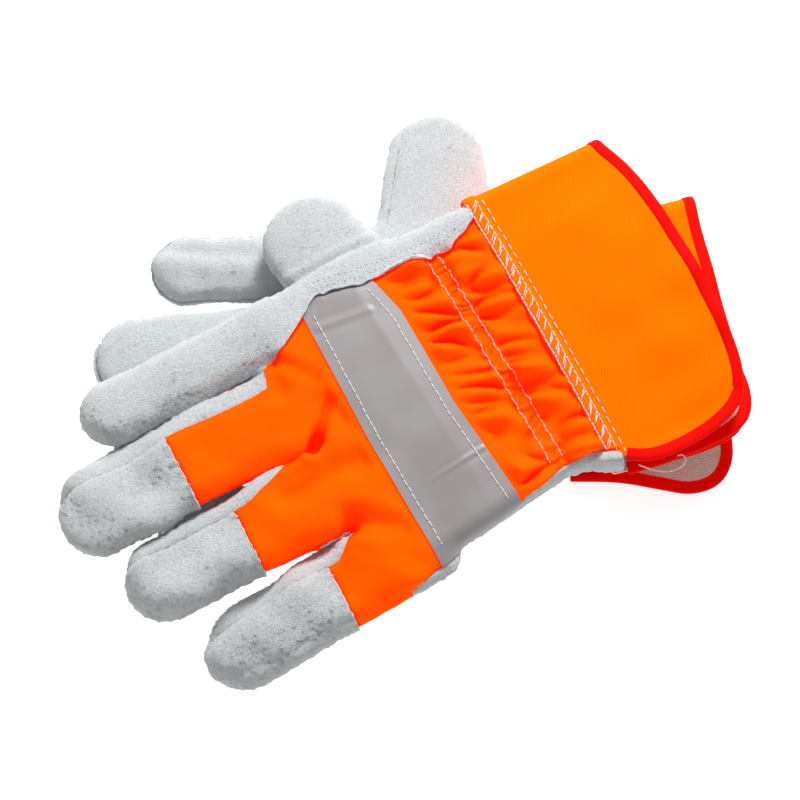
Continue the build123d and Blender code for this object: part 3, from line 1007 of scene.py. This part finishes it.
class Cuff:
    """A flat sheet folded round the thumb side and open on the other, described by x along the
    glove and a across the sheet: below 0 on the back flap, then the fold, then the palm flap."""

    R = 7.5
    bound_from = -20.0  # x where the binding starts on each flap
    bulge = 9.3  # how far the back flap stands off the middle
    hinge = None  # the bodies and axis of the cuff's fold at the wrist; only whether it is set is read, and a piece given one is not attached to a body

    def __init__(self, glove, fold, back, palm, middle, gap, sag):
        self.glove, self.fold, self.middle, self.gap, self.sag = glove, fold, middle, gap, sag
        turn = math.pi * self.R
        top = rounded(back)
        low = rounded(palm)[::-1]
        top = np.stack([top[:, 0], top[:, 1] - self.fold_y(top[:, 0]) + self.R], 1)
        low = np.stack([low[:, 0], turn + self.fold_y(low[:, 0]) - self.R - low[:, 1]], 1)
        self.edge = even(np.concatenate([top, low]), 1.5)
        self.outline = np.concatenate([self.edge, [(-40, self.edge[-1, 1]), (-40, self.edge[0, 1])]])

    def fold_y(self, x):
        return self.fold[0] + self.fold[1] * x

    def at(self, x, a):
        """The point of the sheet at x, a in the hand frame."""
        turn = math.pi * self.R
        y0 = self.fold_y(x) - self.R
        angle = np.clip(a, 0, turn) / self.R
        y = y0 + np.where(a < 0, a, self.R * np.sin(angle))
        y = np.where(a > turn, y0 - (a - turn), y)
        half = 55.0
        v = np.clip((y - 3) / half, -1.6, 1)
        bulge = self.gap + np.where(a < 0, self.bulge - self.gap, 0) * smooth(x, 6, 45) - self.R
        open_ = self.R + bulge * np.clip(1 - v**2, -0.35, 1) * smooth(y0 + 4 - y, 0, 30)
        side = np.where((a > 0) & (a < turn), np.cos(angle) * self.R, np.where(a <= 0, open_, -open_))
        wave = 0.35 * SOFT(np.stack([x, y, a * 0], -1)) * smooth(y0 - y, 0, 25) * smooth(x, 5, 40)
        z = self.middle + side + wave - self.sag * smooth(x, 0, 70) * np.where(a <= turn / 2, 1, 0.3)
        if self.glove.side == "right":
            z = np.minimum(z, 17.8)
        return np.stack([x, y, z], -1)

    def skin(self):
        x = np.arange(-8, 76, 1.0)
        a = np.arange(-150, 175, 1.0)
        gx, ga = np.meshgrid(x, a, indexing="ij")
        v = self.at(gx, ga).reshape(-1, 3)
        p = np.stack([gx, ga, v[:, 1].reshape(gx.shape)], -1).reshape(-1, 3)
        i = np.arange(gx.size).reshape(gx.shape)
        q = np.stack([i[:-1, :-1], i[1:, :-1], i[1:, 1:], i[:-1, 1:]], -1).reshape(-1, 4)
        f = np.concatenate([q[:, [0, 1, 2]], q[:, [0, 2, 3]]])
        skin = Skin(v, f, None, p)
        if skin.n[skin.v[:, 2].argmax(), 2] < 0:
            skin = Skin(v, f[:, ::-1], None, p)
        return skin

    def past_seam(self, p):
        return p[..., 0] - self.glove.seam_x(p[..., 2])

    def make(self, body, band_width=6.4):
        glove, outline = self.glove, self.outline
        skin = self.skin()
        shell = skin.clip(lambda p: np.minimum(inside(p, outline) - 1.0, self.past_seam(p) - 1.0))
        glove.sew("cuff_shell", shell, 0.7, "orange_cuff_cloth", body, self.hinge)
        glove.sew("cuff_lining", shell, 0.7, "canvas_lining", body, self.hinge, low=0.85)
        band = skin.clip(lambda p: np.minimum(inside(p, outline) - 3.9,
                         np.minimum(self.past_seam(p), band_width - self.past_seam(p))))
        band = band.raised(lambda p: 1.0 - 0.9 * (self.past_seam(p) / band_width * 2 - 1) ** 4)
        glove.sew("cuff_seam_band", band, 0.9, "orange_cuff_cloth", body, self.hinge)
        self.bind(body)

    def bind(self, body):
        """The binding tape, folded over the sheet's edge from end to end."""
        x, a = self.edge[self.edge[:, 0] > self.bound_from].T
        e = 0.05
        c = self.at(x, a)
        n = np.cross(self.at(x + e, a) - c, self.at(x, a + e) - c)
        n /= np.linalg.norm(n, axis=1)[:, None]
        outer = self.at(x, a) - np.array((0, 3.0, self.middle))
        if (n[:, 2] * np.sign(outer[:, 2])).sum() < 0:
            n = -n
        t = np.gradient(c, axis=0)
        t /= np.linalg.norm(t, axis=1)[:, None]
        out = np.cross(t, n)
        towards = np.einsum("ij,ij->i", out, c - np.array((20.0, -5.0, self.middle)))
        out *= np.sign(towards)[:, None]
        section = [(-4.2, -0.1), (-4.2, 0.3), (-3.6, 0.5), (-1.2, 0.55), (0.1, 0.35), (0.55, -0.1)]
        section += [(0.7, -0.8)]
        section += [(0.55, -1.5), (0.1, -2.0), (-1.2, -2.15), (-4.0, -2.1), (-4.4, -1.9), (-4.4, -1.6)]
        section += [(-0.6, -1.6), (-0.2, -0.8), (-0.6, -0.1)]
        rows = [c + out * o + n * h for o, h in section]
        v = np.stack(rows, 1)
        count, ring = v.shape[:2]
        i = np.arange(count * ring).reshape(count, ring)
        j = np.roll(i, -1, axis=1)
        q = np.stack([i[:-1], i[1:], j[1:], j[:-1]], -1).reshape(-1, 4)
        fan = np.stack([np.full(ring - 2, 0), np.arange(1, ring - 1), np.arange(2, ring)], 1)
        caps = np.concatenate([fan, fan[:, ::-1] + (count - 1) * ring])
        v = v.reshape(-1, 3)
        name = f"{self.glove.side}_cuff_binding_sewn"
        o = make_object(name, self.glove.place(v), [q, caps], MATERIALS["red_binding"])
        fix_outward(o)
        self.glove.keep(o, "cuff_binding", "red_binding", body, self.hinge)


def fix_outward(o):
    """Faces turned so that a closed mesh has its outside out."""
    bm = bmesh.new()
    bm.from_mesh(o.data)
    bmesh.ops.recalc_face_normals(bm, faces=bm.faces)
    bm.to_mesh(o.data)
    bm.free()


left_cuff = Cuff(
    left,
    fold=(67.5, -0.068),
    back=[(-10, -58), (-1, -59.5), (5, -65), (14, -69), (28, -70), (44, -69), (57, -64), (64, -50), (67, -33),
          (69.5, -12), (71, 16), (71.5, 43), (68, 57)],
    palm=[(-10, -62), (14, -69), (34, -72), (49, -73.5), (58, -70), (64, -60), (67, -45), (69, -12),
          (71, 16), (71.5, 43), (68, 57)],
    middle=10.6,
    gap=10.5,
    sag=1.5,
)
right_cuff = Cuff(
    right,
    fold=(63.0, 0.113),
    back=[(-10, -45), (10, -48), (27, -54), (38, -58), (50, -56), (57, -48), (59.5, -37), (61, 0), (62, 37),
          (61, 55)],
    palm=[(-10, -45), (25, -47), (43, -44.5), (57, -40), (62, -35), (64.5, -27), (65, -10), (63.5, 10),
          (62, 37), (61, 55)],
    middle=9.5,
    gap=9.3,
    sag=0.0,
)
FOLD_START, FOLD_WIDTH = 1.0, 18.0  # where the cuff starts to fold past its seam, and over what width
fold_x = left.seam[0] + FOLD_START
left_cuff.hinge = (
    "left_hand",
    "left_cuff",
    (fold_x, 0.0, HAND_H),
    (fold_x + FOLD_WIDTH, -FOLD_WIDTH * left.seam[1], HAND_H),
)
left_cuff.bound_from = 0.5
left_cuff.bulge = 13.0
left_cuff.make("left_cuff")
right_cuff.make("right_hand")


# ---------------------------------------------------------------- stitches


def tree_of(*objects):
    v, f = [], []
    for o in objects:
        start = len(v)
        v.extend(Vector(p.co) for p in o.data.vertices)
        f.extend(tuple(i + start for i in poly.vertices) for poly in o.data.polygons)
    return BVHTree.FromPolygons(v, f)


def laid(tree, points, side=1):
    """Points in plan, in metres, dropped onto the tree from above or below, with normals."""
    out, normal = [], []
    for x, y in points:
        hit, n, _, _ = tree.ray_cast(Vector((x, y, 0.2 * side)), Vector((0, 0, -side)))
        if hit is None:
            continue
        out.append(tuple(hit))
        normal.append(tuple(n if n.z * side > 0 else -n))
    return np.array(out), np.array(normal)


class Tubes:
    """Many thin closed tubes gathered into one mesh."""

    def __init__(self, sides=6):
        self.v, self.q, self.t, self.count, self.sides = [], [], [], 0, sides

    def add(self, points, radius, ends=0.6):
        """A tube along points, in metres, its ends drawn in."""
        k = self.sides
        points = np.array(points)
        t = np.gradient(points, axis=0)
        t /= np.maximum(np.linalg.norm(t, axis=1), 1e-12)[:, None]
        up = np.array((0.02, 0.03, 1.0))
        a = np.cross(t, up)
        a /= np.linalg.norm(a, axis=1)[:, None]
        b = np.cross(a, t)
        r = np.full(len(points), radius)
        r[0] = r[-1] = radius * ends
        angle = np.arange(k) * 2 * math.pi / k
        ring = a[:, None] * np.cos(angle)[:, None] + b[:, None] * np.sin(angle)[:, None]
        self.v.append((points[:, None] + ring * r[:, None, None]).reshape(-1, 3))
        i = self.count + np.arange(len(points) * k).reshape(-1, k)
        j = np.roll(i, -1, axis=1)
        self.q.append(np.stack([i[:-1], j[:-1], j[1:], i[1:]], -1).reshape(-1, 4))
        fan = np.stack([np.full(k - 2, 0), np.arange(1, k - 1), np.arange(2, k)], 1) + self.count
        self.t += [fan[:, ::-1], fan + (len(points) - 1) * k]
        self.count += len(points) * k

    def object(self, name, material=MATERIALS["white_thread"]):
        faces = [np.concatenate(self.q), np.concatenate(self.t)]
        o = make_object(name, np.concatenate(self.v), faces, material)
        fix_outward(o)
        return o


rng = np.random.default_rng(11)


def in_place(points):
    """Plan points of the left hand frame as metres in the pair's frame."""
    p = np.array(points, float)
    return (p + LEFT_AT[:2]) * MM


def sew_row(tubes, tree, path, length, gap, radius=0.26, wander=0.08, sink=0.12):
    """A row of stitches along a path in the hand frame's plan."""
    path = even(rounded(path, 2), 0.25)
    step = 0.25
    i = 0
    while i < len(path) - 3:
        n = max(int((length * rng.uniform(0.85, 1.15)) / step), 3)
        part = path[i : i + n : max(n // 5, 1)]
        i += n + int(gap / step)
        if len(part) < 3:
            continue
        v, normal = laid(tree, in_place(part + rng.normal(0, wander, 2)))
        if len(v) < 3:
            continue
        rise = np.full(len(v), 0.12)
        rise[0] = rise[-1] = -sink
        tubes.add(v + normal * (rise * MM)[:, None], radius * MM)


def seam_path(offset, y0, y1):
    y = np.linspace(y0, y1, 24)
    return np.stack([left.seam_x(y) + offset, y], 1)


def row_path(offset, slope, y0=51.5, y1=-48.5):
    y = np.linspace(y0, y1, 60)
    return np.stack([offset + slope * y + 0.35 * np.sin(y * 1.1), y], 1)


LOOSE_END = [(5.0, -66.0, 13.0), (9.0, -70.2, 10.5), (13.1, -73.1, 9.0), (17.3, -74.7, 8.6)]
LOOSE_END += [(21.2, -74.9, 8.8), (23.8, -73.2, 9.4), (23.2, -70.8, 10.0), (21.0, -70.4, 10.2)]
TAPE_INSETS = 4.0, -4.2  # of the stitch rows, from the tape's edges
STRIP_INSETS = 3.0, 6.4  # of the stitch rows on the leather strip, from its edge
WRIST_ROWS = (-24.1, 0.029), (-18.7, 0.024)  # x and slope of the rows that hold the elastic
STROKE_PITCH = 5.4  # between the groups of leaning strokes along the cuff's seam


def left_stitching():
    """All stitches that show on the left glove, laid on the surfaces they hold."""
    tape = tree_of(left.pieces["reflective_tape"], left.pieces["back_cotton"])
    rows = Tubes()
    y = np.linspace(52.5, -55, 30)
    path = np.stack([lerp(y, TAPE_LEFT) + TAPE_INSETS[0], y], 1)
    sew_row(rows, tape, path, 3.3, 0.1, 0.26, sink=0.03)
    y = np.linspace(51.5, -52.5, 30)
    path = np.stack([lerp(y, TAPE_RIGHT) + TAPE_INSETS[1], y], 1)
    sew_row(rows, tape, path, 3.3, 0.1, 0.26, sink=0.03)
    left.keep(rows.object("left_tape_stitching_sewn"), "tape_stitching", "white_thread")
    rows = Tubes()
    cotton = tree_of(left.pieces["back_cotton"])
    for offset, slope in WRIST_ROWS:
        sew_row(rows, cotton, row_path(offset, slope), 2.5, 0.1, 0.2)
    left.keep(rows.object("left_wrist_stitching_sewn"), "wrist_stitching", "white_thread")
    rows = Tubes()
    cuff = tree_of(left.pieces["cuff_seam_band"], left.pieces["cuff_shell"])
    sew_row(rows, cuff, seam_path(0.6, 63, -57), 2.2, 0.0, radius=0.3, wander=0.08, sink=0.05)
    sew_row(rows, cuff, seam_path(4.4, 63, -58), 3.4, 0.2, radius=0.22, sink=0.05)
    sew_row(rows, cuff, seam_path(7.2, 62, -60), 3.6, 1.0, radius=0.24)
    for y in np.arange(62, -54, -STROKE_PITCH):
        x = left.seam_x(y)
        for k in range(rng.integers(2, 4)):
            start = np.array((x + 4.3 - 0.5 * k, y - 1.2 * k + rng.uniform(-0.3, 0.3)))
            end = start + (-rng.uniform(2.2, 3.2), -rng.uniform(2.0, 3.4))
            line = start + np.linspace(0, 1, 6)[:, None] * (end - start)
            v, normal = laid(cuff, in_place(line))
            if len(v) > 2:
                rows.add(v + normal * 0.15 * MM, 0.2 * MM)
    rows.add(left.place(even(rounded(LOOSE_END), 1.0)), 0.3 * MM)
    sewn = rows.object("left_cuff_stitching_sewn")
    left.keep(sewn, "cuff_stitching", "white_thread", "left_cuff", left_cuff.hinge)
    holes = Tubes()
    strip = tree_of(left.pieces["thumb_side_strip"])
    for inset in STRIP_INSETS:
        path = [(x, lerp(x, STRIP_EDGE) + inset) for x in range(-70, -2, 3)]
        sew_row(holes, strip, path, 0.8, 1.6, radius=0.24, wander=0.2, sink=0.15)
    # the stitch dots are painted dark grey: painted shade of the stitch holes
    o = holes.object("left_strip_stitching_sewn", HOLE_SHADE_THREAD)
    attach(o, "left_hand")


left_stitching()


# ---------------------------------------------------------------- camera and light

scene = bpy.context.scene
LOOK_AT = Vector((-3.45, -7.39, 20.0)) * MM
azimuth, elevation, distance = math.radians(-31.1), math.radians(72), 0.774
back = Vector(
    (
        math.sin(azimuth) * math.cos(elevation),
        -math.cos(azimuth) * math.cos(elevation),
        math.sin(elevation),
    )
)
cam_data = bpy.data.cameras.new("camera")
cam_data.lens, cam_data.sensor_width = 85, 36
camera = bpy.data.objects.new("camera", cam_data)
scene.collection.objects.link(camera)
camera.rotation_mode = "QUATERNION"
camera.location = LOOK_AT + back * distance
camera.rotation_quaternion = (-back).to_track_quat("-Z", "Y")
cam_data.clip_start, cam_data.clip_end = 0.01, 20
scene.camera = camera

world = bpy.data.worlds.new("studio")
scene.world = world
world.use_nodes = True
world.node_tree.nodes["Background"].inputs["Color"].default_value = (1, 1, 1, 1)
world.node_tree.nodes["Background"].inputs["Strength"].default_value = 0.40


def area_light(name, place, size, power):
    data = bpy.data.lights.new(name, "AREA")
    data.size, data.energy = size, power
    o = bpy.data.objects.new(name, data)
    scene.collection.objects.link(o)
    o.location = place
    o.rotation_mode = "QUATERNION"
    o.rotation_quaternion = Vector(place).to_track_quat("Z", "Y")
    return o


KEY_AT, KEY_SIZE, KEY_POWER = (0.9, 0.825, 1.09), 0.5, 33  # metres, metres, watts
area_light("key", KEY_AT, KEY_SIZE, KEY_POWER)
FLOOR_HALF, FLOOR_Z = 3, -0.0005
corners = [(-1, -1), (1, -1), (1, 1), (-1, 1)]
floor = make_object(
    "floor",
    np.array([(x * FLOOR_HALF, y * FLOOR_HALF, FLOOR_Z) for x, y in corners]),
    [np.array([[0, 1, 2, 3]])],
    floor_surface(),
)
scene.view_settings.view_transform = "Standard"
